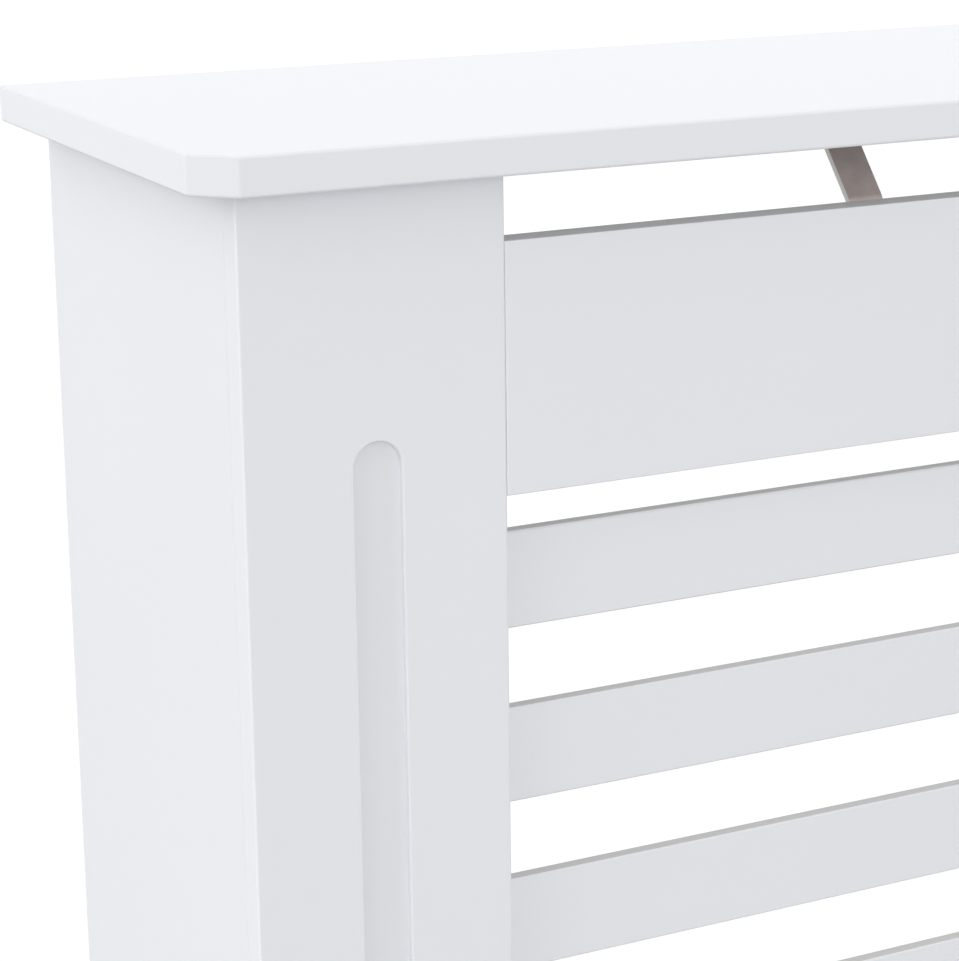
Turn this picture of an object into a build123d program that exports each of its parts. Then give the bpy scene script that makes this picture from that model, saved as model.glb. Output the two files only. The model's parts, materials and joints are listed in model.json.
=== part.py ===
"""Radiator cover cabinet: a flat-pack case of painted boards that stands in front of a radiator.

Millimetres. +X runs to the right seen from the front, +Y to the wall, +Z up. The origin is on the
floor, under the middle of the case's outer box. Left pieces are modelled, right ones are their mirror
images.
"""

from build123d import *
from math import floor, radians, tan
import os

# ---- Overall -------------------------------------------------------------------------------------
overall_width = 780.0
overall_depth = 190.0
overall_height = 815.0

# ---- Top board -----------------------------------------------------------------------------------
top_thickness = 12.0
side_overhang = 15.5
front_overhang = 15.5
corner_cut = 11.5
corner_easing = 1.2
top_easing = 1.0

# ---- Side panels, pilasters and rails --------------------------------------------------------------
side_thickness = 12.0
front_thickness = 9.5
pilaster_width = 84.5
board_easing = 0.8
rail_easing = 0.5
seam_easing = 0.3
groove_width = 15.6
groove_depth = 2.5
groove_end_margin = 77.8
groove_easing = 0.4
vent_height = 21.8
rail_height = 78.2
least_floor_gap = 100.0

# ---- Grille panel ----------------------------------------------------------------------------------
grille_thickness = 4.5
slat_height = 31.2
slot_height = 26.1
slot_under_rail = 11.9
slot_corner_radius = 3.0
slot_behind_pilaster = 12.0
grille_border = 28.0
grille_end_border = 18.0
slat_easing = 0.5

# ---- Corner battens --------------------------------------------------------------------------------
batten_size = 18.0
batten_end_margin = 24.0
batten_easing = 1.0

# ---- Steel straps between the top rail and the top board -------------------------------------------
strap_width = 12.8
strap_thickness = 2.0
strap_slope = 49.3
strap_bend = 2.5
strap_tab = 26.0
strap_inset = 233.6
strap_rise_start = 0.1

# ---- Joining plates over the seams -----------------------------------------------------------------
plate_length = 52.0
plate_width = 16.0
plate_thickness = 2.0
plate_corner = 4.0
plate_hole_pitch = 11.0

# ---- Angle brackets under the top board ------------------------------------------------------------
bracket_leg = 22.0
bracket_width = 16.0
bracket_thickness = 1.6
bracket_bend = 1.5
bracket_corner = 3.0
bracket_front_margin = 30.0
bracket_rear_margin = 36.0

# ---- Wall brackets ---------------------------------------------------------------------------------
wall_bracket_leg = 30.0
wall_bracket_width = 44.0
wall_bracket_thickness = 2.0
wall_bracket_bend = 2.0
wall_bracket_corner = 4.0
wall_bracket_drop = 110.0
wall_hole_radius = 2.75
wall_hole_pitch = 24.0

# ---- Fasteners, drawn six-sided because there are so many of them ------------------------------------
fastener_sides = 6
shank_radius = 1.5
pan_head_radius = 2.9
pan_crown_radius = 1.9
pan_head_height = 1.7
flat_head_radius = 3.0
screw_tip = 2.5
screw_tip_radius = 0.4
screw_bite = 6.5
pilot_clearance = 0.1
plate_clearance = 0.25
pilot_end = 0.5
dowel_radius = 3.0
dowel_length = 24.0
dowel_in_top = 8.0
dowel_end_margin = 20.0
batten_screw_rows = 3
screw_stagger = 30.0
grille_side_screws = 3
grille_rail_screw_inset = 100.0

# ---- How near two places count as the same -----------------------------------------------------------
same_place = 0.001

# ---- Levels and planes worked out from the sizes above ---------------------------------------------
half_width = overall_width / 2
half_depth = overall_depth / 2
underside_z = overall_height - top_thickness
side_x = -(half_width - side_overhang)
side_inner_x = side_x + side_thickness
pilaster_inner_x = side_x + pilaster_width
front_y = -half_depth + front_overhang
front_back_y = front_y + front_thickness
grille_back_y = front_back_y + grille_thickness
wall_y = half_depth

top_rail_top = underside_z - vent_height
top_rail_bottom = top_rail_top - rail_height
slat_pitch = slat_height + slot_height
slot_seen = slot_height - slot_under_rail
slat_room = top_rail_bottom - least_floor_gap - rail_height - 2 * slot_seen + slot_height
slat_count = floor(slat_room / slat_pitch)
slat_stack = slat_count * slat_pitch - slot_height
bottom_rail_top = top_rail_bottom - 2 * slot_seen - slat_stack
bottom_rail_bottom = bottom_rail_top - rail_height

grille_x = pilaster_inner_x - slot_behind_pilaster - grille_border
grille_top = top_rail_bottom + slot_under_rail + grille_end_border
grille_bottom = bottom_rail_top - slot_under_rail - grille_end_border
slot_x = pilaster_inner_x - slot_behind_pilaster
groove_x = side_x + pilaster_width / 2


# ---- Helpers ---------------------------------------------------------------------------------------
def block(low, high):
    """A box between two opposite corners."""
    size = [b - a for a, b in zip(low, high)]
    middle = [(a + b) / 2 for a, b in zip(low, high)]
    return Pos(*middle) * Box(*size)


def flat_edges(part, axis, level):
    """The edges of a part that lie in the plane square to an axis at a level."""
    return part.edges().filter_by_position(axis, level - same_place, level + same_place)


def aimed(shape, point, direction):
    """Puts a shape that was made down the -Z axis at a point, running in a direction."""
    return Plane(origin=point, z_dir=-Vector(*direction)).location * shape


def mirrored(shape):
    """The right-hand copy of a left-hand piece."""
    return mirror(shape, about=Plane.YZ)


def both_sides(shapes):
    """Left-hand pieces with their right-hand copies."""
    return shapes + [mirrored(shape) for shape in shapes]


def spread(low, high, count):
    """Evenly spaced places from low to high."""
    step = (high - low) / (count - 1)
    return [low + step * index for index in range(count)]


def drilled(part, places, cutter):
    """Cuts one hole at each place of a left-hand piece."""
    for point, direction in places:
        part -= aimed(cutter, point, direction)
    return part


def drilled_both_sides(part, places, cutter):
    """Cuts one hole at each place and at its mirror place."""
    for point, direction in places:
        hole = aimed(cutter, point, direction)
        part -= [hole, mirrored(hole)]
    return part


# ---- Fasteners: each runs down -Z from the surface that its head bears on ----------------------------
def stem(top_radius, bottom_radius, top, bottom):
    """A many-sided length of a fastener, or of its hole, between two levels."""
    upper = Plane.XY.offset(top) * RegularPolygon(top_radius, fastener_sides)
    lower = Plane.XY.offset(bottom) * RegularPolygon(bottom_radius, fastener_sides)
    return loft([upper, lower], ruled=True)


def shank(length):
    """The body of a screw below its head, with a pointed end."""
    tip_start = -length + screw_tip
    point = stem(shank_radius, screw_tip_radius, tip_start, -length)
    return stem(shank_radius, shank_radius, 0, tip_start) + point


def pan_screw(length):
    """A screw with a domed head that stands on the surface."""
    return stem(pan_crown_radius, pan_head_radius, pan_head_height, 0) + shank(length)


def flat_screw(length):
    """A countersunk screw whose head is level with the surface."""
    return stem(flat_head_radius, shank_radius, 0, shank_radius - flat_head_radius) + shank(length)


def pilot(length):
    """The hole for a screw of this length, from the surface that carries its head."""
    radius = shank_radius + pilot_clearance
    return stem(radius, radius, 0, -length - pilot_end)


def countersink(length):
    """A pilot hole with the cone that takes a flat head."""
    radius = shank_radius + pilot_clearance
    rim = flat_head_radius + pilot_clearance
    return pilot(length) + stem(rim, radius, 0, radius - rim)


def clearance_hole(thickness):
    """A hole through a plate, both ways from the surface that the head bears on."""
    radius = shank_radius + plate_clearance
    return stem(radius, radius, thickness, -2 * thickness)


# ---- Places of the fasteners (left side, each a point on the bearing surface and a direction) --------
batten_bottom = batten_end_margin
batten_top = underside_z - batten_end_margin
batten_inner_x = side_inner_x + batten_size
batten_back_y = front_back_y + batten_size
batten_screw_length = batten_size + screw_bite
batten_low = batten_bottom + 2 * screw_stagger
batten_high = batten_top - 2 * screw_stagger
batten_levels = spread(batten_low, batten_high, batten_screw_rows)
batten_to_side = [
    ((batten_inner_x, front_back_y + batten_size / 2, z), (-1, 0, 0)) for z in batten_levels
]
batten_to_pilaster = [
    ((side_inner_x + batten_size / 2, batten_back_y, z + screw_stagger), (0, -1, 0)) for z in batten_levels
]

grille_screw_length = grille_thickness + screw_bite
grille_side_x = grille_x + grille_border / 2
grille_low = grille_bottom + grille_end_border / 2
grille_high = grille_top - grille_end_border / 2
grille_levels = spread(grille_low, grille_high, grille_side_screws)
grille_to_pilaster = [((grille_side_x, grille_back_y, z), (0, -1, 0)) for z in grille_levels]


def grille_to_rail(level):
    """The left screw that holds the grille panel to a rail."""
    return ((pilaster_inner_x + grille_rail_screw_inset, grille_back_y, level), (0, -1, 0))


grille_to_rails = [grille_to_rail(grille_low), grille_to_rail(grille_high)]

plate_screw_length = plate_thickness + screw_bite
plate_reach = plate_length / 2 - plate_corner - shank_radius
plate_offsets = (-plate_reach, plate_hole_pitch - plate_reach, plate_reach - plate_hole_pitch, plate_reach)
top_plate_z = (grille_top + top_rail_top) / 2
bottom_plate_z = (grille_bottom + bottom_rail_bottom) / 2


def plate_fixings(level):
    """The screws of one joining plate."""
    surface = front_back_y + plate_thickness
    return [((pilaster_inner_x + offset, surface, level), (0, -1, 0)) for offset in plate_offsets]


bracket_screw_length = bracket_thickness + screw_bite
bracket_hole = (bracket_leg + bracket_thickness) / 2
bracket_places = (front_back_y + bracket_front_margin, wall_y - bracket_rear_margin)


def bracket_fixings(y):
    """The two screws of one angle bracket: into the side panel and into the top board."""
    return [
        ((side_inner_x + bracket_thickness, y, underside_z - bracket_hole), (-1, 0, 0)),
        ((side_inner_x + bracket_hole, y, underside_z - bracket_thickness), (0, 0, 1)),
    ]


wall_screw_length = wall_bracket_thickness + screw_bite
wall_bracket_z = underside_z - wall_bracket_drop
wall_hole_inset = (wall_bracket_leg + wall_bracket_thickness) / 2
wall_levels = (wall_bracket_z - wall_hole_pitch / 2, wall_bracket_z + wall_hole_pitch / 2)
wall_bracket_to_side = [
    ((side_inner_x + wall_bracket_thickness, wall_y - wall_hole_inset, z), (-1, 0, 0)) for z in wall_levels
]

strap_screw_length = strap_thickness + screw_bite
strap_x = -(half_width - strap_inset)
strap_foot_z = top_rail_top + strap_rise_start
strap_run = (underside_z - strap_foot_z) / tan(radians(strap_slope))
strap_knee_y = front_back_y + strap_run
strap_fixings = [
    ((strap_x, front_back_y + strap_thickness, strap_foot_z - strap_tab / 2), (0, -1, 0)),
    ((strap_x, strap_knee_y + strap_tab / 2, underside_z - strap_thickness), (0, 0, 1)),
]

dowel_rows = (front_back_y + dowel_end_margin, wall_y - dowel_end_margin)
dowel_places = [(side_x + side_thickness / 2, y) for y in dowel_rows]
dowel_in_side = dowel_length - dowel_in_top


# ---- Boards ----------------------------------------------------------------------------------------
def dowel_hole(depth):
    """A blind hole for one dowel."""
    radius = dowel_radius + pilot_clearance
    return stem(radius, radius, 0, -depth - pilot_end)


def top_board():
    """The shelf: cut front corners, eased all round, drilled underneath."""
    board = block((-half_width, -half_depth, underside_z), (half_width, half_depth, overall_height))
    front_corners = board.edges().filter_by(Axis.Z).group_by(Axis.Y)[0]
    board = chamfer(front_corners, corner_cut)
    cut_edges = board.edges().filter_by(Axis.Z).sort_by(Axis.Y)[:4]
    board = fillet(cut_edges, corner_easing)
    rims = flat_edges(board, Axis.Z, overall_height) + flat_edges(board, Axis.Z, underside_z)
    board = fillet(rims, top_easing)
    up = (0, 0, 1)
    dowel_mouths = [((x, y, underside_z), up) for x, y in dowel_places]
    board = drilled_both_sides(board, dowel_mouths, dowel_hole(dowel_in_top))
    bracket_tops = [bracket_fixings(y)[1] for y in bracket_places]
    board = drilled_both_sides(board, bracket_tops, pilot(bracket_screw_length))
    return drilled_both_sides(board, strap_fixings[1:], pilot(strap_screw_length))


def side_panel():
    """The left side, behind the pilaster and back to the wall."""
    board = block((side_x, front_back_y, 0), (side_inner_x, wall_y, underside_z))
    outer = board.edges().filter_by(Axis.Z).group_by(Axis.X)[0].sort_by(Axis.Y)
    board = chamfer(outer[0], seam_easing)
    outer = board.edges().filter_by(Axis.Z).group_by(Axis.X)[0].sort_by(Axis.Y)
    board = fillet(outer[-1], board_easing)
    dowel_mouths = [((x, y, underside_z), (0, 0, -1)) for x, y in dowel_places]
    board = drilled(board, dowel_mouths, dowel_hole(dowel_in_side))
    board = drilled(board, batten_to_side, pilot(batten_screw_length))
    bracket_sides = [bracket_fixings(y)[0] for y in bracket_places]
    board = drilled(board, bracket_sides, pilot(bracket_screw_length))
    return drilled(board, wall_bracket_to_side, pilot(wall_screw_length))


def groove():
    """The routed groove: straight sides, round ends and a flat floor."""
    low = groove_end_margin
    high = underside_z - groove_end_margin
    face = Plane((groove_x, front_y, (low + high) / 2), x_dir=(0, 0, 1), z_dir=(0, 1, 0))
    return extrude(face * SlotOverall(high - low, groove_width), groove_depth)


def pilaster():
    """The left front upright with its groove."""
    board = block((side_x, front_y, 0), (pilaster_inner_x, front_back_y, underside_z))
    board = fillet(board.edges().filter_by(Axis.Z).group_by(Axis.Y)[0], board_easing)
    seam = board.edges().filter_by(Axis.Z).group_by(Axis.Y)[-1].sort_by(Axis.X)[0]
    board = chamfer(seam, seam_easing)
    board -= groove()
    reach = groove_width / 2 + groove_easing
    rim = flat_edges(board, Axis.Y, front_y).filter_by_position(Axis.X, groove_x - reach, groove_x + reach)
    board = chamfer(rim, groove_easing)
    board = drilled(board, batten_to_pilaster, pilot(batten_screw_length))
    board = drilled(board, grille_to_pilaster, pilot(grille_screw_length))
    plates = plate_fixings(top_plate_z)[:2] + plate_fixings(bottom_plate_z)[:2]
    return drilled(board, plates, pilot(plate_screw_length))


def rail(low, high, plate_z, grille_fixing):
    """A rail between the pilasters, eased round its front face."""
    board = block((pilaster_inner_x, front_y, low), (-pilaster_inner_x, front_back_y, high))
    board = fillet(flat_edges(board, Axis.Y, front_y), rail_easing)
    board = drilled_both_sides(board, plate_fixings(plate_z)[2:], pilot(plate_screw_length))
    return drilled_both_sides(board, [grille_fixing], pilot(grille_screw_length))


def top_rail():
    """The upper rail, which also carries the straps."""
    board = rail(top_rail_bottom, top_rail_top, top_plate_z, grille_to_rails[1])
    return drilled_both_sides(board, strap_fixings[:1], pilot(strap_screw_length))


def bottom_rail():
    """The lower rail, over the air gap at the floor."""
    return rail(bottom_rail_bottom, bottom_rail_top, bottom_plate_z, grille_to_rails[0])


def grille_panel():
    """The slats: one thin sheet with a column of long slots, behind the rails and pilasters."""
    sheet = block((grille_x, front_back_y, grille_bottom), (-grille_x, grille_back_y, grille_top))
    cutter = Box(-2 * slot_x, 2 * grille_thickness, slot_height)
    cutter = fillet(cutter.edges().filter_by(Axis.Y), slot_corner_radius)
    first = top_rail_bottom + slot_under_rail - slot_height / 2
    sheet -= [Pos(0, front_back_y, first - slat_pitch * index) * cutter for index in range(slat_count + 1)]
    reach = -slot_x + same_place
    front = flat_edges(sheet, Axis.Y, front_back_y).filter_by_position(Axis.X, -reach, reach)
    rims = [edge for edge in front if edge.length < 2 * reach]
    sheet = chamfer(rims, slat_easing)
    return drilled_both_sides(sheet, grille_to_pilaster + grille_to_rails, countersink(grille_screw_length))


def corner_batten():
    """The left batten in the corner of side panel and pilaster, with its inner edge eased."""
    low = (side_inner_x, front_back_y, batten_bottom)
    high = (batten_inner_x, batten_back_y, batten_top)
    batten = block(low, high)
    inner = batten.edges().filter_by(Axis.Z).group_by(Axis.Y)[-1].sort_by(Axis.X)[-1]
    batten = fillet(inner, batten_easing)
    return drilled(batten, batten_to_side + batten_to_pilaster, countersink(batten_screw_length))


# ---- Steel pieces ----------------------------------------------------------------------------------
def bent_strip(corners, thickness, bend, width, plane):
    """A bent flat strip: its outer line in a plane, the metal to the right of it, rounded bends."""
    outer = FilletPolyline(*corners, radius=bend + thickness)
    section = make_face(offset(outer, thickness, side=Side.RIGHT))
    return extrude(plane * section, width / 2, both=True)


def clipped(strip, thickness, corner):
    """Cuts the free corners of a bent strip, found by the short edges through its thickness."""
    ends = strip.edges().filter_by(lambda edge: abs(edge.length - thickness) < same_place)
    return chamfer(ends, corner)


def strap():
    """The left strap: a tab behind the top rail, a slope back and up, a tab under the top board."""
    corners = [
        (front_back_y, strap_foot_z - strap_tab),
        (front_back_y, strap_foot_z),
        (strap_knee_y, underside_z),
        (strap_knee_y + strap_tab, underside_z),
    ]
    plane = Plane((strap_x, 0, 0), x_dir=(0, 1, 0), z_dir=(1, 0, 0))
    strip = bent_strip(corners, strap_thickness, strap_bend, strap_width, plane)
    return drilled(strip, strap_fixings, clearance_hole(strap_thickness))


def joining_plate(level):
    """A flat plate with clipped corners, across the left seam of rail and pilaster."""
    surface = Plane((pilaster_inner_x, front_back_y, level), x_dir=(1, 0, 0), z_dir=(0, 1, 0))
    plate = extrude(surface * Rectangle(plate_length, plate_width), plate_thickness)
    plate = chamfer(plate.edges().filter_by(Axis.Y), plate_corner)
    return drilled(plate, plate_fixings(level), clearance_hole(plate_thickness))


def angle_bracket(y):
    """A small angle bracket in the left corner of side panel and top board."""
    corners = [
        (side_inner_x, underside_z - bracket_leg),
        (side_inner_x, underside_z),
        (side_inner_x + bracket_leg, underside_z),
    ]
    plane = Plane((0, y, 0), x_dir=(1, 0, 0), z_dir=(0, -1, 0))
    strip = bent_strip(corners, bracket_thickness, bracket_bend, bracket_width, plane)
    strip = clipped(strip, bracket_thickness, bracket_corner)
    return drilled(strip, bracket_fixings(y), clearance_hole(bracket_thickness))


def wall_bracket():
    """The left wall bracket: one leg on the side panel, one leg flat on the wall."""
    corners = [
        (side_inner_x, wall_y - wall_bracket_leg),
        (side_inner_x, wall_y),
        (side_inner_x + wall_bracket_leg, wall_y),
    ]
    plane = Plane((0, 0, wall_bracket_z), x_dir=(1, 0, 0), z_dir=(0, 0, 1))
    strip = bent_strip(corners, wall_bracket_thickness, wall_bracket_bend, wall_bracket_width, plane)
    strip = clipped(strip, wall_bracket_thickness, wall_bracket_corner)
    strip = drilled(strip, wall_bracket_to_side, clearance_hole(wall_bracket_thickness))
    wall_hole = Cylinder(wall_hole_radius, 4 * wall_bracket_thickness)
    for z in wall_levels:
        strip -= aimed(wall_hole, (side_inner_x + wall_hole_inset, wall_y, z), (0, 1, 0))
    return strip


# ---- Groups of identical fasteners -----------------------------------------------------------------
def screws(shape, places):
    """The screws at these left-hand places and at their mirror places."""
    return Compound(children=both_sides([aimed(shape, point, direction) for point, direction in places]))


def dowels():
    """The dowels between the side panels and the top board."""
    peg = stem(dowel_radius, dowel_radius, dowel_in_top, dowel_in_top - dowel_length)
    return Compound(children=both_sides([Pos(x, y, underside_z) * peg for x, y in dowel_places]))


def assembly():
    """Every node with its name."""
    left_side = side_panel()
    left_pilaster = pilaster()
    left_batten = corner_batten()
    left_strap = strap()
    left_wall_bracket = wall_bracket()
    nodes = {
        "top_board": top_board(),
        "left_side_panel": left_side,
        "right_side_panel": mirrored(left_side),
        "left_pilaster": left_pilaster,
        "right_pilaster": mirrored(left_pilaster),
        "top_rail": top_rail(),
        "bottom_rail": bottom_rail(),
        "grille_panel": grille_panel(),
        "left_corner_batten": left_batten,
        "right_corner_batten": mirrored(left_batten),
        "left_rail_strap": left_strap,
        "right_rail_strap": mirrored(left_strap),
        "left_wall_bracket": left_wall_bracket,
        "right_wall_bracket": mirrored(left_wall_bracket),
        "top_dowels": dowels(),
        "batten_screws": screws(flat_screw(batten_screw_length), batten_to_side + batten_to_pilaster),
        "grille_screws": screws(flat_screw(grille_screw_length), grille_to_pilaster + grille_to_rails),
        "strap_screws": screws(pan_screw(strap_screw_length), strap_fixings),
        "wall_bracket_screws": screws(pan_screw(wall_screw_length), wall_bracket_to_side),
    }
    plate_places = []
    for height, level in (("top", top_plate_z), ("bottom", bottom_plate_z)):
        plate = joining_plate(level)
        nodes[f"left_{height}_joining_plate"] = plate
        nodes[f"right_{height}_joining_plate"] = mirrored(plate)
        plate_places += plate_fixings(level)
    nodes["plate_screws"] = screws(pan_screw(plate_screw_length), plate_places)
    bracket_fixing_places = []
    for place, y in zip(("front", "rear"), bracket_places):
        bracket = angle_bracket(y)
        nodes[f"left_{place}_angle_bracket"] = bracket
        nodes[f"right_{place}_angle_bracket"] = mirrored(bracket)
        bracket_fixing_places += bracket_fixings(y)
    nodes["bracket_screws"] = screws(pan_screw(bracket_screw_length), bracket_fixing_places)
    return nodes


os.makedirs("parts", exist_ok=True)
for name, shape in assembly().items():
    export_step(shape, f"parts/{name}.step")
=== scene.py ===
"""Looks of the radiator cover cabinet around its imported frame: finishes, screws, floor, light and camera.

Metres, unless a comment says millimetres. +X runs to the right seen from the front, +Y to the wall, +Z up,
as in the frame.
"""

import json
import math

import bmesh
import bpy
from mathutils import Matrix, Vector


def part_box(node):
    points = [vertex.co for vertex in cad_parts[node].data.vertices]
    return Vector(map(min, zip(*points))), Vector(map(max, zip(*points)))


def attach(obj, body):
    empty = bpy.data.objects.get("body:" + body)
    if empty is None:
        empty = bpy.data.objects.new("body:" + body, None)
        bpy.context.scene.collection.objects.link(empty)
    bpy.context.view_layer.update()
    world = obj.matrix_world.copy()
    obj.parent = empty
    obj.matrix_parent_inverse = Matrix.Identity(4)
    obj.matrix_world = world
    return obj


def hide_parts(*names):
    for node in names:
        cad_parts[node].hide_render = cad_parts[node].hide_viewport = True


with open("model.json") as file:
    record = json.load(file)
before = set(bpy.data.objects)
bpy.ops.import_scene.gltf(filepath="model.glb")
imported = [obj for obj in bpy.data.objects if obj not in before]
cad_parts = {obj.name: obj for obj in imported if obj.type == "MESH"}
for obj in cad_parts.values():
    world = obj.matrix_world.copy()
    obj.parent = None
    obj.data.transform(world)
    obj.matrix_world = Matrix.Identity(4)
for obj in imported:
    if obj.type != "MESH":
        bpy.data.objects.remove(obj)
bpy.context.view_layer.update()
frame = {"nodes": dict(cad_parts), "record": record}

MM = 0.001

# ---- Camera: as near the photograph's place and direction as a small lens shift allows ---------------
CAMERA_PLACE = Vector((-646.06, -805.07, 927.0)) * MM
CAMERA_YAW = math.radians(27.193)
CAMERA_PITCH = math.radians(13.586)
CAMERA_ROLL = math.radians(-0.397)
CAMERA_LENS = 103.938
CAMERA_SHIFT = -0.08
CAMERA_NEAR = 0.05
CAMERA_FAR = 100.0

# ---- Light: levels are shares of what makes a white surface white ------------------------------------
WHITE = (1.0, 1.0, 1.0, 1.0)
DOME_LEVEL = 0.50
SEEN_LEVEL = 1.0
# Each lamp: name, the direction it comes from, its level and how wide it is in degrees.
LAMPS = (
    ("key_light", (-1.0, -0.2, 0.84), 0.116, 60),
    ("left_light", (-1.0, 0.0, 0.1), 0.36, 60),
    ("left_fill", (-1.0, 0.02, 0.1), 0.21, 120),
    ("front_light", (-0.12, -1.0, 0.14), 0.185, 20),
    ("front_fill", (-0.1, -1.0, 0.36), 0.095, 30),
    ("top_fill", (0.0, 0.1, 1.0), 0.078, 120),
    ("right_fill", (1.0, -0.1, 0.3), 0.20, 60),
    ("back_fill", (0.0, 1.0, 0.1), 0.32, 120),
)

# ---- Floor: FLOOR_LIFT is how much lighter the camera sees it ----------------------------------------
FLOOR_COLOUR = (0.5, 0.5, 0.5, 1.0)
FLOOR_LIFT = 0.55
FLOOR_ROUGHNESS = 0.9
FLOOR_HALF = 30.0
FLOOR_DROP = 0.2 * MM


# ---- Node trees --------------------------------------------------------------------------------------
# The colour sockets of a Mix node by number, because their names repeat.
MIX_FACTOR, MIX_A, MIX_B, MIX_RESULT = 0, 6, 7, 2
# Shares of a normal from which, and from which fully, a face counts as square to an axis.
SQUARE_ON = (0.8, 0.97)
# How far a rounded normal turns from the true one where an edge starts and where it is full.
EDGE_TURN = (0.02, 0.25)
EDGE_SAMPLES = 4


class Shader:
    """A material with a Principled surface, and short ways to add the nodes used here."""

    def __init__(self, name, **fixed):
        self.material = bpy.data.materials.new(name)
        self.material.use_nodes = True
        self.tree = self.material.node_tree
        self.surface = self.tree.nodes["Principled BSDF"]
        for socket, value in fixed.items():
            self.surface.inputs[socket.replace("_", " ")].default_value = value
        self.place = self.add("ShaderNodeTexCoord").outputs["Object"]

    def add(self, kind, **settings):
        """A new node with these settings."""
        node = self.tree.nodes.new(kind)
        for name, value in settings.items():
            setattr(node, name, value)
        return node

    def feed(self, socket, value):
        """Links an output to a socket, or sets the socket to a number or colour."""
        if isinstance(value, bpy.types.NodeSocket):
            self.tree.links.new(value, socket)
        else:
            socket.default_value = value

    def stretched(self, scale):
        """Object coordinates scaled along each axis."""
        node = self.add("ShaderNodeMapping")
        self.feed(node.inputs["Vector"], self.place)
        node.inputs["Scale"].default_value = scale
        return node.outputs["Vector"]

    def split(self, vector):
        """The three parts of a vector."""
        node = self.add("ShaderNodeSeparateXYZ")
        self.feed(node.inputs[0], vector)
        return node.outputs

    def facing(self):
        """The parts of the surface's own normal along X, Y and Z."""
        return self.split(self.add("ShaderNodeNewGeometry").outputs["True Normal"])

    def square_on(self, part):
        """1 on the faces whose normal has this part in full, either way, and 0 on the others."""
        return self.ranged(self.math("ABSOLUTE", part), *SQUARE_ON)

    def noise(self, scale, detail=2.0, rough=0.5, vector=None):
        """Clouds: scale is how many there are in a metre."""
        node = self.add("ShaderNodeTexNoise")
        self.feed(node.inputs["Vector"], vector or self.place)
        node.inputs["Scale"].default_value = scale
        node.inputs["Detail"].default_value = detail
        node.inputs["Roughness"].default_value = rough
        return node.outputs["Fac"]

    def cells(self, scale):
        """Cells, each of one grey: scale is how many there are in a metre."""
        node = self.add("ShaderNodeTexVoronoi")
        self.feed(node.inputs["Vector"], self.place)
        node.inputs["Scale"].default_value = scale
        tone = self.add("ShaderNodeRGBToBW")
        self.feed(tone.inputs[0], node.outputs["Color"])
        return tone.outputs[0]

    def math(self, operation, a, b=0.0):
        """The result of a Math node."""
        node = self.add("ShaderNodeMath", operation=operation)
        self.feed(node.inputs[0], a)
        self.feed(node.inputs[1], b)
        return node.outputs[0]

    def ranged(self, value, low, high, to_low=0.0, to_high=1.0):
        """The value mapped from low to high onto to_low to to_high, and kept within them."""
        node = self.add("ShaderNodeMapRange")
        self.feed(node.inputs["Value"], value)
        names = ("From Min", "From Max", "To Min", "To Max")
        for name, number in zip(names, (low, high, to_low, to_high)):
            node.inputs[name].default_value = number
        return node.outputs["Result"]

    def ramp(self, value, stops):
        """A colour ramp through (position, colour) stops."""
        node = self.add("ShaderNodeValToRGB")
        self.feed(node.inputs["Fac"], value)
        elements = node.color_ramp.elements
        while len(elements) < len(stops):
            elements.new(1.0)
        for element, (position, colour) in zip(elements, stops):
            element.position = position
            element.color = (*colour, 1.0)
        return node.outputs["Color"]

    def mix(self, factor, a, b, blend="MIX"):
        """Colour a blended with colour b by a factor."""
        node = self.add("ShaderNodeMix", data_type="RGBA", blend_type=blend)
        self.feed(node.inputs[MIX_FACTOR], factor)
        self.feed(node.inputs[MIX_A], a)
        self.feed(node.inputs[MIX_B], b)
        return node.outputs[MIX_RESULT]

    def times(self, colour, other):
        """Two colours multiplied."""
        return self.mix(1.0, colour, other, "MULTIPLY")

    def coated(self, where, colour, coat):
        """The colour, multiplied by the coat's where the mask is 1."""
        return self.mix(where, colour, self.times(colour, coat))

    def bump(self, height, strength, distance, below=None):
        """A normal roughened by a height, over the normal below."""
        node = self.add("ShaderNodeBump")
        node.inputs["Strength"].default_value = strength
        node.inputs["Distance"].default_value = distance
        self.feed(node.inputs["Height"], height)
        if below is not None:
            self.feed(node.inputs["Normal"], below)
        return node.outputs["Normal"]

    def edge_mask(self, radius):
        """1 at the sharp edges of a piece and 0 on its faces."""
        bevel = self.add("ShaderNodeBevel", samples=EDGE_SAMPLES)
        bevel.inputs["Radius"].default_value = radius
        dot = self.add("ShaderNodeVectorMath", operation="DOT_PRODUCT")
        self.feed(dot.inputs[0], bevel.outputs["Normal"])
        self.feed(dot.inputs[1], self.add("ShaderNodeNewGeometry").outputs["Normal"])
        return self.ranged(self.math("SUBTRACT", 1.0, dot.outputs["Value"]), *EDGE_TURN)

    def finish(self, colour, roughness, normal):
        """The finished material."""
        self.feed(self.surface.inputs["Base Color"], colour)
        self.feed(self.surface.inputs["Roughness"], roughness)
        self.feed(self.surface.inputs["Normal"], normal)
        return self.material


# ---- Paint -------------------------------------------------------------------------------------------
COAT_IOR = 1.45
PAINT = (0.820, 0.836, 0.868)
PAINT_DRIFT = 0.008
# Painted shade as well as a duller coat: the cut edges of the front pieces that look up or down are darker.
CUT_COAT_AND_SHADE = (0.765, 0.742, 0.71, 1.0)
# Painted shade: the floor of the routed groove is a little darker, as shade in a recess.
ROUTED_SHADE = (0.955, 0.955, 0.955, 1.0)
ROUTED_START = 1.0 * MM
ROUTED_FULL = 1.4 * MM
# Painted shade: the upright faces of the shelf's cut corners are darker than the lamps leave them.
CORNER_SHADE = (0.93, 0.93, 0.93, 1.0)
# Painted shade: the shelf's eased upper edges are darker, to cancel the light line they catch.
EASED_SHADE = (0.90, 0.90, 0.90, 1.0)
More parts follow.
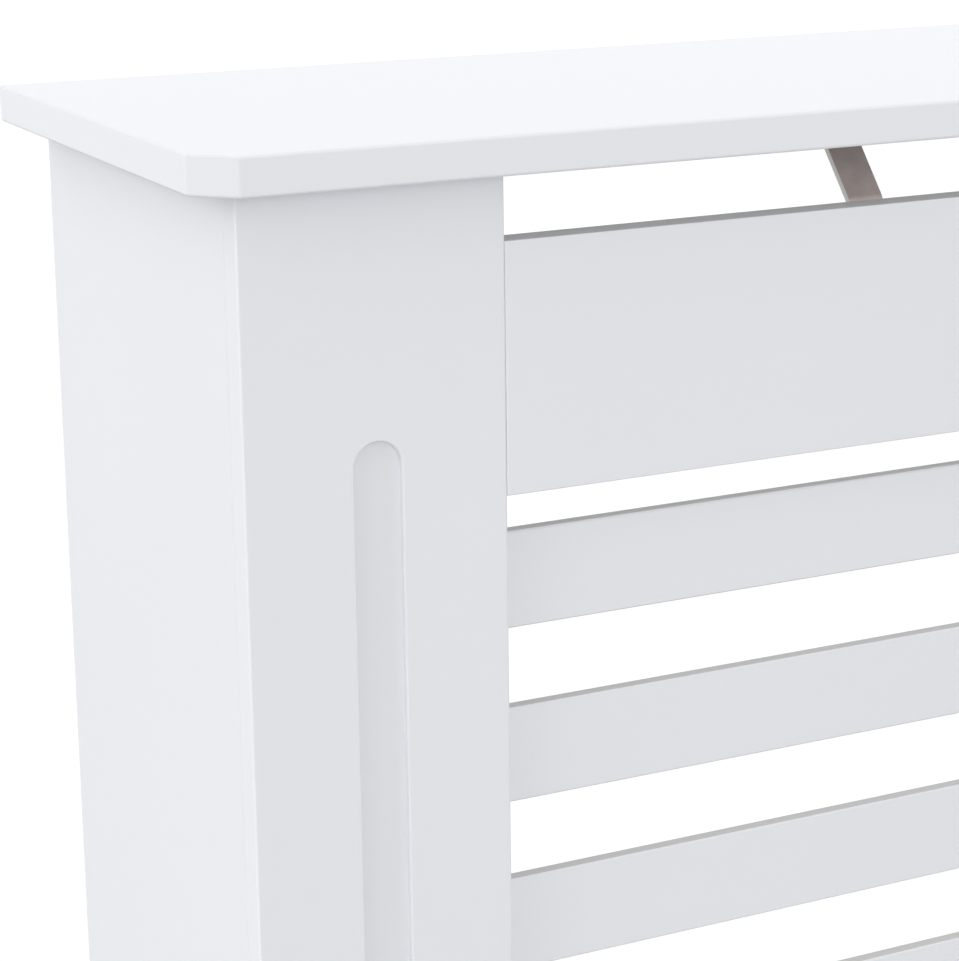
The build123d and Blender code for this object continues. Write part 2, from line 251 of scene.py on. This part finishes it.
# The product of a normal's X and Y parts is 0.5 on a corner that is cut at 45 degrees.
CORNER_PRODUCT = (0.35, 0.47)
# Parts of a normal on an eased upper edge of the shelf's ends: up, and to the side.
EASED_UP = (0.05, 0.25)
EASED_ASIDE = (0.1, 0.4)


def tinted(colour, factor):
    """A colour made lighter or darker."""
    return tuple(min(1.0, part * factor) for part in colour)


def painted_board(name, face_axis, dull_and_shaded_axis=None, routed_from=None, shelf=False):
    """Satin lacquer on board. The broad faces look along face_axis (0, 1 or 2), the rest are cut edges.

    Cut edges that look along the dulling and shading axis, if one is given, are darker and less blue:
    partly a duller coat that the cut edge took up, and partly painted shade, as these faces lie in shade.
    Painted shade also darkens, a little, the floor of a groove routed into a front that lies at
    routed_from, and on a shelf the upright faces of its cut corners and the eased upper edges of its ends.
    """
    s = Shader(name, IOR=COAT_IOR)
    drift = s.noise(2.5, detail=3.0)
    darker, lighter = tinted(PAINT, 1.0 - PAINT_DRIFT), tinted(PAINT, 1.0 + PAINT_DRIFT)
    colour = s.ramp(drift, [(0.35, darker), (0.65, lighter)])
    facing = s.facing()
    cut = s.math("SUBTRACT", 1.0, s.square_on(facing[face_axis]))
    if dull_and_shaded_axis is not None:
        # Painted shade and a duller coat on the cut edges along that axis.
        colour = s.coated(s.square_on(facing[dull_and_shaded_axis]), colour, CUT_COAT_AND_SHADE)
    # Painted shade on the groove's floor, behind the front and facing forwards.
    if routed_from is not None:
        behind = s.ranged(s.split(s.place)[1], routed_from + ROUTED_START, routed_from + ROUTED_FULL)
        forwards = s.ranged(facing[1], *(-share for share in SQUARE_ON))
        colour = s.coated(s.math("MULTIPLY", behind, forwards), colour, ROUTED_SHADE)
    if shelf:
        # Painted shade on the shelf's cut corners.
        product = s.math("ABSOLUTE", s.math("MULTIPLY", facing[0], facing[1]))
        colour = s.coated(s.ranged(product, *CORNER_PRODUCT), colour, CORNER_SHADE)
        # Painted shade on the shelf's eased upper edges.
        aside = s.ranged(s.math("ABSOLUTE", facing[0]), *EASED_ASIDE)
        eased = s.math("MULTIPLY", s.ranged(facing[2], *EASED_UP), aside)
        colour = s.coated(eased, colour, EASED_SHADE)
    peel = s.noise(420.0, detail=1.0)
    grit = s.noise(2600.0, detail=2.0, rough=0.6)
    fibre = s.noise(1500.0, detail=3.0, rough=0.7)
    satin = s.ranged(drift, 0.3, 0.7, 0.48, 0.54)
    roughness = s.math("ADD", satin, s.math("MULTIPLY", cut, 0.08))
    normal = s.bump(peel, strength=0.12, distance=0.12 * MM)
    normal = s.bump(grit, strength=0.10, distance=0.02 * MM, below=normal)
    normal = s.bump(s.math("MULTIPLY", fibre, cut), strength=0.25, distance=0.06 * MM, below=normal)
    return s.finish(colour, roughness, normal)


# ---- Wood --------------------------------------------------------------------------------------------
ALONG_GRAIN = (1.0, 1.0, 0.03)
ALONG_RINGS = (1.0, 1.7, 0.03)
EARLY_WOOD = (0.78, 0.625, 0.43)
SAWN_COAT = (0.86, 0.80, 0.72, 1.0)
RING_SETTINGS = {
    "Scale": 84.0,
    "Distortion": 9.0,
    "Detail": 2.0,
    "Detail Scale": 0.45,
    "Detail Roughness": 0.35,
}
RING_STOPS = [
    (0.0, (0.70, 0.515, 0.32)),
    (0.12, EARLY_WOOD),
    (0.60, (0.765, 0.60, 0.405)),
    (0.97, (0.68, 0.48, 0.28)),
]
FLECK_STOPS = [(0.30, (0.48, 0.28, 0.15)), (0.42, (0.70, 0.48, 0.30)), (0.75, (0.76, 0.55, 0.36))]


def planed_softwood(name):
    """Pale planed pine: growth rings, fine fibre along Z, darker late wood and darker sawn ends."""
    s = Shader(name, IOR=COAT_IOR)
    drift = s.noise(150.0, detail=3.0, rough=0.6, vector=s.stretched(ALONG_GRAIN))
    rings = s.add("ShaderNodeTexWave", wave_type="RINGS", rings_direction="Z", wave_profile="SAW")
    s.feed(rings.inputs["Vector"], s.stretched(ALONG_RINGS))
    for socket, value in RING_SETTINGS.items():
        rings.inputs[socket].default_value = value
    growth = s.ramp(rings.outputs["Fac"], RING_STOPS)
    colour = s.mix(s.ranged(drift, 0.35, 0.65, 0.35, 0.9), (*EARLY_WOOD, 1.0), growth)
    fibre = s.noise(900.0, detail=4.0, rough=0.7, vector=s.stretched(ALONG_GRAIN))
    colour = s.times(colour, s.ramp(fibre, [(0.30, (0.90, 0.88, 0.85)), (0.62, WHITE[:3])]))
    colour = s.coated(s.square_on(s.facing()[2]), colour, SAWN_COAT)
    roughness = s.ranged(fibre, 0.3, 0.7, 0.72, 0.58)
    return s.finish(colour, roughness, s.bump(fibre, strength=0.35, distance=0.08 * MM))


def beech(name):
    """Turned beech with short dark flecks."""
    s = Shader(name, IOR=COAT_IOR)
    fleck = s.noise(1400.0, detail=2.0, rough=0.6, vector=s.stretched((1.0, 1.0, 0.12)))
    roughness = s.ranged(fleck, 0.3, 0.7, 0.7, 0.55)
    return s.finish(s.ramp(fleck, FLECK_STOPS), roughness, s.bump(fleck, strength=0.3, distance=0.05 * MM))


# ---- Steel -------------------------------------------------------------------------------------------
PLATE_EDGE = 0.3 * MM
SCREW_EDGE = 0.12 * MM
# Bare steel for the strap's thin sides and rubbed edge, and on those sides also a painted highlight.
SHEARED_STEEL_AND_HIGHLIGHT = (0.84, 0.83, 0.80, 1.0)
RUBBED_ZINC = (0.80, 0.81, 0.82, 1.0)
RUBBED_SCREW = (0.86, 0.86, 0.85, 1.0)


def strap_steel(name):
    """Brownish grey rolled steel with a faint grain along the strip and a rubbed edge; its thin sides are
    lighter, partly as bare cut steel and partly as a painted highlight.
    """
    s = Shader(name)
    grain = s.noise(2200.0, detail=3.0, rough=0.6, vector=s.stretched((1.0, 0.06, 0.06)))
    cloud = s.noise(160.0, detail=4.0, rough=0.6)
    colour = s.ramp(cloud, [(0.32, (0.435, 0.375, 0.355)), (0.68, (0.51, 0.445, 0.42))])
    colour = s.times(colour, s.ramp(grain, [(0.35, (0.94, 0.94, 0.94)), (0.65, WHITE[:3])]))
    # Painted highlight as well as bare steel: the thin sides that look along X are lighter.
    sheared = s.square_on(s.facing()[0])
    rubbed = s.math("MULTIPLY", s.edge_mask(PLATE_EDGE), 0.5)
    colour = s.mix(s.math("MAXIMUM", sheared, rubbed), colour, SHEARED_STEEL_AND_HIGHLIGHT)
    s.feed(s.surface.inputs["Metallic"], s.ranged(sheared, 0.0, 1.0, 0.85, 0.6))
    roughness = s.ranged(cloud, 0.3, 0.7, 0.56, 0.66)
    return s.finish(colour, roughness, s.bump(grain, strength=0.15, distance=0.03 * MM))


def zinc_steel(name):
    """Zinc plating: cool grey, cloudy, with crystal patches and fine scratches."""
    s = Shader(name, Metallic=1.0)
    cloud = s.noise(90.0, detail=4.0, rough=0.6)
    scratch = s.noise(1800.0, detail=2.0, vector=s.stretched((0.05, 0.6, 1.0)))
    colour = s.ramp(s.cells(420.0), [(0.2, (0.60, 0.62, 0.64)), (0.8, (0.66, 0.68, 0.695))])
    colour = s.times(colour, s.ramp(cloud, [(0.35, (0.955, 0.96, 0.965)), (0.65, WHITE[:3])]))
    colour = s.mix(s.edge_mask(PLATE_EDGE), colour, RUBBED_ZINC)
    plating = s.ranged(cloud, 0.3, 0.7, 0.30, 0.42)
    roughness = s.math("ADD", plating, s.ranged(scratch, 0.5, 0.75, 0.0, 0.10))
    return s.finish(colour, roughness, s.bump(scratch, strength=0.20, distance=0.02 * MM))


def screw_steel(name):
    """Bright zinc plated wire, a little worn round the recess."""
    s = Shader(name, Metallic=1.0)
    cloud = s.noise(700.0, detail=3.0, rough=0.6)
    colour = s.ramp(cloud, [(0.32, (0.58, 0.575, 0.55)), (0.68, (0.72, 0.715, 0.69))])
    colour = s.mix(s.edge_mask(SCREW_EDGE), colour, RUBBED_SCREW)
    roughness = s.ranged(cloud, 0.3, 0.7, 0.24, 0.36)
    return s.finish(colour, roughness, s.bump(cloud, strength=0.15, distance=0.02 * MM))


# ---- The frame's nodes get their finishes ------------------------------------------------------------
FINISHES = {
    "bare_wood": planed_softwood("planed_softwood"),
    "dowel_wood": beech("beech"),
    "strap_steel": strap_steel("strap_steel"),
    "zinc_steel": zinc_steel("zinc_steel"),
    "screw_steel": screw_steel("screw_steel"),
}
FRONT_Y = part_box("left_pilaster")[0][1]
PAINTED_SIDE = painted_board("painted_side", 0)
PAINTED_TOP = painted_board("painted_top", 2, shelf=True)
PAINTED_FRONT = painted_board("painted_front", 1, dull_and_shaded_axis=2)
PAINTED_UPRIGHT = painted_board("painted_upright", 1, routed_from=FRONT_Y)
PAINTED = {
    "top_board": PAINTED_TOP,
    "left_side_panel": PAINTED_SIDE,
    "right_side_panel": PAINTED_SIDE,
    "left_pilaster": PAINTED_UPRIGHT,
    "right_pilaster": PAINTED_UPRIGHT,
}


def finish_of(node, slot):
    """The material of a CAD node: paint that knows its broad faces, or its slot's finish."""
    if slot == "painted_board":
        return PAINTED.get(node, PAINTED_FRONT)
    return FINISHES[slot]


for row in frame["record"]["subparts"]:
    materials = frame["nodes"][row["node"]].data.materials
    materials.clear()
    materials.append(finish_of(row["node"], row["material_slot"]))


# ---- Screws: each group of the frame is replaced by turned ones with threads and cross recesses ------
# Sizes of one screw in millimetres. Heights are over the surface that a flat head is level with, or over
# the top of a domed head.
HEAD_SEGMENTS = 32
NECK_RADIUS = 1.2

PAN_RADIUS = 2.9
PAN_HEIGHT = 1.7
PAN_RIM_TOP = 0.95
PAN_RIM_EASING = 0.12
PAN_NECK = 0.4
DOME_RADIUS = PAN_RADIUS * 0.93
DOME_HEIGHT = 0.75
DOME_STEPS = 6
DOME_STEP_DEGREES = 15
DOME_STEP_OUT = 0.02

FLAT_RADIUS = 3.16
FLAT_FACE_RADIUS = 2.8
FLAT_PROUD = 0.06
FLAT_RIM = [(FLAT_RADIUS - 0.06, 0.03), (FLAT_RADIUS, -0.02), (FLAT_RADIUS, -0.1)]
FLAT_CONE_BOTTOM = 1.62
FLAT_NECK_BOTTOM = 2.0

THREAD_OUTER = 1.5
THREAD_CORE = 1.08
THREAD_PITCH = 1.3
THREAD_SEGMENTS = 14
THREAD_ROWS_PER_TURN = 5
THREAD_TAPER = 1.8
THREAD_OVERLAP = 0.1
RIDGE_HALF_WIDTH = 0.22  # a share of the pitch
TIP_SHARE = 0.08  # the blunt tip's share of the radius

RECESS_REACH = 1.55
RECESS_HALF_WIDTH = 0.36
RECESS_DEPTH = 1.0
RECESS_TIP_DEPTH = 1.25
RECESS_ABOVE = 0.6
RECESS_WIDER = 1.12  # the cutter's scale above the head
RECESS_NARROWER = 0.72  # its arms' length at the floor
RECESS_FLOOR_WIDTH = 0.8  # its arms' width at the floor

# Other values.
HEAD_REACH = 2.0 * MM
SAME_POINT = 1e-6
PLACE_DIGITS = 5
GOLDEN_TURN = math.radians(137.5)
SMOOTH_ANGLE = math.radians(38)


def meshed(work, name):
    """A new mesh of what a bmesh holds, which is freed."""
    mesh = bpy.data.meshes.new(name)
    work.to_mesh(mesh)
    work.free()
    return mesh


def linked(name, data):
    """A new object in the scene."""
    thing = bpy.data.objects.new(name, data)
    bpy.context.scene.collection.objects.link(thing)
    return thing


def ring_pairs(count):
    """Each step round a ring with the step after it."""
    return [(step, (step + 1) % count) for step in range(count)]


def islands(mesh):
    """The separate solids of a mesh, each as a list of points."""
    work = bmesh.new()
    work.from_mesh(mesh)
    bmesh.ops.remove_doubles(work, verts=work.verts, dist=SAME_POINT)
    found, seen = [], set()
    for start in work.verts:
        if start in seen:
            continue
        seen.add(start)
        group, front = [], [start]
        while front:
            vert = front.pop()
            group.append(vert.co.copy())
            for edge in vert.link_edges:
                other = edge.other_vert(vert)
                if other not in seen:
                    seen.add(other)
                    front.append(other)
        found.append(group)
    work.free()
    return found


def placed(points):
    """The head end, the direction to the point and the length of one screw, from its solid."""
    low = Vector([min(p[axis] for p in points) for axis in range(3)])
    high = Vector([max(p[axis] for p in points) for axis in range(3)])
    axis = max(range(3), key=lambda index: (high - low)[index])
    middle = (low + high) / 2

    def spread_at(level):
        return sum((p - middle).length for p in points if abs(p[axis] - level) < HEAD_REACH)

    head_up = spread_at(high[axis]) > spread_at(low[axis])
    head, direction = middle.copy(), Vector((0, 0, 0))
    head[axis] = high[axis] if head_up else low[axis]
    direction[axis] = -1.0 if head_up else 1.0
    return head, direction, (high - low)[axis]


def turned(outline, segments):
    """A closed mesh turned round Z from (radius, height) points that start and end on the axis."""
    work = bmesh.new()
    angles = [2 * math.pi * step / segments for step in range(segments)]
    rings = []
    for radius, height in outline:
        if radius == 0:
            places = [(0, 0, height)]
        else:
            places = [(radius * math.cos(angle), radius * math.sin(angle), height) for angle in angles]
        rings.append([work.verts.new(place) for place in places])
    for upper, lower in zip(rings, rings[1:]):
        for step, after in ring_pairs(segments):
            corners = [upper[step % len(upper)], lower[step % len(lower)]]
            corners += [lower[after % len(lower)], upper[after % len(upper)]]
            work.faces.new(list(dict.fromkeys(corners)))
    bmesh.ops.recalc_face_normals(work, faces=work.faces)
    return meshed(work, "turned")


def cross_outline(reach, half_width):
    """The corners of a cross, anticlockwise: three for each arm, a quarter turn apart."""
    arm = [(reach, -half_width), (reach, half_width), (half_width, half_width)]
    corners = []
    for _ in range(4):
        corners += arm
        arm = [(-y, x) for x, y in arm]
    return corners


def cross_cutter():
    """A cross-shaped driver recess that narrows towards its floor, as a cutter over z = 0."""
    reach, half_width = RECESS_REACH * MM, RECESS_HALF_WIDTH * MM
    top = cross_outline(reach * RECESS_WIDER, half_width * RECESS_WIDER)
    floor = cross_outline(reach * RECESS_NARROWER, half_width * RECESS_FLOOR_WIDTH)
    work = bmesh.new()
    upper = [work.verts.new((x, y, RECESS_ABOVE * MM)) for x, y in top]
    lower = [work.verts.new((x, y, -RECESS_DEPTH * MM)) for x, y in floor]
    for step, after in ring_pairs(len(upper)):
        work.faces.new([upper[step], lower[step], lower[after], upper[after]])
    tip = work.verts.new((0, 0, -RECESS_TIP_DEPTH * MM))
    for step, after in ring_pairs(len(lower)):
        work.faces.new([lower[step], tip, lower[after]])
    work.faces.new(list(reversed(upper)))
    bmesh.ops.recalc_face_normals(work, faces=work.faces)
    return meshed(work, "cross")


def cut(mesh, cutter):
    """The first mesh less the second."""
    body, tool = linked("body", mesh), linked("tool", cutter)
    modifier = body.modifiers.new("cut", "BOOLEAN")
    modifier.operation = "DIFFERENCE"
    modifier.solver = "EXACT"
    modifier.object = tool
    bpy.context.view_layer.update()
    result = bpy.data.meshes.new_from_object(body.evaluated_get(bpy.context.evaluated_depsgraph_get()))
    for piece in (body, tool):
        bpy.data.objects.remove(piece)
    return result


def add_thread(work, top, bottom):
    """A threaded shank from top down to a point at bottom, as one closed skin."""
    outer, core, pitch = THREAD_OUTER * MM, THREAD_CORE * MM, THREAD_PITCH * MM
    rows = max(2, round((top - bottom) / pitch * THREAD_ROWS_PER_TURN))
    rings = []
    for row in range(rows + 1):
        height = top + (bottom - top) * row / rows
        narrow = max(TIP_SHARE, min(1.0, (height - bottom) / (THREAD_TAPER * MM)))
        ring = []
        for step in range(THREAD_SEGMENTS):
            turn = step / THREAD_SEGMENTS
            phase = ((top - height) / pitch + turn) % 1.0
            ridge = max(0.0, 1.0 - abs(phase - 0.5) / RIDGE_HALF_WIDTH)
            radius = (core + (outer - core) * ridge) * narrow
            angle = 2 * math.pi * turn
            ring.append(work.verts.new((radius * math.cos(angle), radius * math.sin(angle), height)))
        rings.append(ring)
    for upper, lower in zip(rings, rings[1:]):
        for step, after in ring_pairs(THREAD_SEGMENTS):
            work.faces.new([upper[step], lower[step], lower[after], upper[after]])
    work.faces.new(rings[0])
    work.faces.new(list(reversed(rings[-1])))


def flat_head():
    """The outline of a countersunk head, from the middle of its face to the middle of its neck."""
    face = [(0, FLAT_PROUD), (FLAT_FACE_RADIUS, FLAT_PROUD)]
    cone = [(THREAD_OUTER, -FLAT_CONE_BOTTOM), (NECK_RADIUS, -FLAT_NECK_BOTTOM), (0, -FLAT_NECK_BOTTOM)]
    return face + FLAT_RIM + cone


def pan_head():
    """The outline of a domed head, from its top to the middle of its neck."""
    outline = [(0, 0)]
    for step in range(1, DOME_STEPS):
        angle = math.radians(90 - step * DOME_STEP_DEGREES)
        radius = DOME_RADIUS * math.cos(angle) + DOME_STEP_OUT * step
        outline.append((radius, DOME_HEIGHT * math.sin(angle) - DOME_HEIGHT))
    outline += [(PAN_RADIUS, -PAN_RIM_TOP), (PAN_RADIUS, PAN_RIM_EASING - PAN_HEIGHT)]
    outline += [(PAN_RADIUS - PAN_RIM_EASING, -PAN_HEIGHT), (NECK_RADIUS, -PAN_HEIGHT)]
    neck_bottom = -PAN_HEIGHT - PAN_NECK
    return outline + [(NECK_RADIUS, neck_bottom), (0, neck_bottom)]


def screw_mesh(length, flat):
    """One screw down -Z with the top of its head at z = 0; length is its whole length in metres."""
    outline = flat_head() if flat else pan_head()
    head = turned([(radius * MM, height * MM) for radius, height in outline], HEAD_SEGMENTS)
    head = cut(head, cross_cutter())
    work = bmesh.new()
    work.from_mesh(head)
    neck_bottom = outline[-1][1]
    add_thread(work, (neck_bottom + THREAD_OVERLAP) * MM, -length)
    bmesh.ops.recalc_face_normals(work, faces=work.faces)
    return meshed(work, "screw")


def screw_group(node, flat):
    """Detailed screws in the places of one group of the frame."""
    places = [placed(points) for points in islands(frame["nodes"][node].data)]
    places.sort(key=lambda place: tuple(round(part, PLACE_DIGITS) for part in place[0]))
    pattern = screw_mesh(places[0][2], flat)
    work = bmesh.new()
    for index, (head, direction, _) in enumerate(places):
        turn = direction.to_track_quat("-Z", "Y").to_matrix().to_4x4()
        spin = Matrix.Rotation(GOLDEN_TURN * index, 4, "Z")
        count = len(work.verts)
        work.from_mesh(pattern)
        work.verts.ensure_lookup_table()
        bmesh.ops.transform(work, matrix=Matrix.Translation(head) @ turn @ spin, verts=work.verts[count:])
    mesh = meshed(work, f"{node}_turned")
    mesh.polygons.foreach_set("use_smooth", [True] * len(mesh.polygons))
    mesh.set_sharp_from_angle(angle=SMOOTH_ANGLE)
    mesh.materials.append(FINISHES["screw_steel"])
    piece = linked(f"{node}_turned", mesh)
    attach(piece, "root")
    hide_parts(node)


for group in ("plate_screws", "bracket_screws", "strap_screws", "wall_bracket_screws"):
    screw_group(group, flat=False)
for group in ("batten_screws", "grille_screws"):
    screw_group(group, flat=True)


# ---- Floor, light and camera -------------------------------------------------------------------------
def add_floor():
    """A wide pale floor that is near white to the camera and keeps the object's shadow."""
    corners = [(-1, -1), (1, -1), (1, 1), (-1, 1)]
    points = [(x * FLOOR_HALF, y * FLOOR_HALF, -FLOOR_DROP) for x, y in corners]
    mesh = bpy.data.meshes.new("floor")
    mesh.from_pydata(points, [], [(0, 1, 2, 3)])
    s = Shader("pale_floor")
    s.surface.inputs["Base Color"].default_value = FLOOR_COLOUR
    s.surface.inputs["Roughness"].default_value = FLOOR_ROUGHNESS
    s.surface.inputs["Specular IOR Level"].default_value = 0.0
    s.surface.inputs["Emission Color"].default_value = WHITE
    camera_ray = s.add("ShaderNodeLightPath").outputs["Is Camera Ray"]
    s.feed(s.surface.inputs["Emission Strength"], s.math("MULTIPLY", camera_ray, FLOOR_LIFT))
    mesh.materials.append(s.material)
    linked("floor", mesh)


def add_dome():
    """A soft white dome; the camera and reflections see it white."""
    world = bpy.data.worlds.new("dome")
    bpy.context.scene.world = world
    world.use_nodes = True
    nodes, links = world.node_tree.nodes, world.node_tree.links
    nodes.clear()

    def highest(a, b):
        node = nodes.new("ShaderNodeMath")
        node.operation = "MAXIMUM"
        links.new(a, node.inputs[0])
        links.new(b, node.inputs[1])
        return node.outputs[0]

    def background(level):
        node = nodes.new("ShaderNodeBackground")
        node.inputs["Color"].default_value = WHITE
        node.inputs["Strength"].default_value = level
        return node.outputs[0]

    rays = nodes.new("ShaderNodeLightPath").outputs
    mirrored = highest(rays["Is Glossy Ray"], rays["Is Transmission Ray"])
    mix = nodes.new("ShaderNodeMixShader")
    links.new(highest(rays["Is Camera Ray"], mirrored), mix.inputs[0])
    links.new(background(DOME_LEVEL), mix.inputs[1])
    links.new(background(SEEN_LEVEL), mix.inputs[2])
    links.new(mix.outputs[0], nodes.new("ShaderNodeOutputWorld").inputs[0])


def add_sun(name, comes_from, level, spread):
    """A distant soft light. level is the share of a white surface's brightness that it gives square on."""
    data = bpy.data.lights.new(name, "SUN")
    data.energy = level * math.pi
    data.angle = math.radians(spread)
    lamp = linked(name, data)
    lamp.rotation_mode = "QUATERNION"
    lamp.rotation_quaternion = (-Vector(comes_from)).to_track_quat("-Z", "Y")


def add_camera():
    """The camera of the main view."""
    yaw, pitch, roll = CAMERA_YAW, CAMERA_PITCH, CAMERA_ROLL
    ahead = Vector((math.sin(yaw) * math.cos(pitch), math.cos(yaw) * math.cos(pitch), -math.sin(pitch)))
    right = Vector((math.cos(yaw), -math.sin(yaw), 0.0))
    up = right.cross(ahead)
    rolled_right = right * math.cos(roll) + up * math.sin(roll)
    rolled_up = up * math.cos(roll) - right * math.sin(roll)
    turn = Matrix((rolled_right, rolled_up, -ahead)).transposed()
    data = bpy.data.cameras.new("camera")
    data.lens = CAMERA_LENS
    data.shift_x = CAMERA_SHIFT
    data.shift_y = CAMERA_SHIFT
    data.clip_start = CAMERA_NEAR
    data.clip_end = CAMERA_FAR
    camera = linked("camera", data)
    camera.matrix_world = Matrix.Translation(CAMERA_PLACE) @ turn.to_4x4()
    bpy.context.scene.camera = camera


add_floor()
add_dome()
for lamp in LAMPS:
    add_sun(*lamp)
add_camera()
bpy.context.scene.view_settings.view_transform = "Standard"
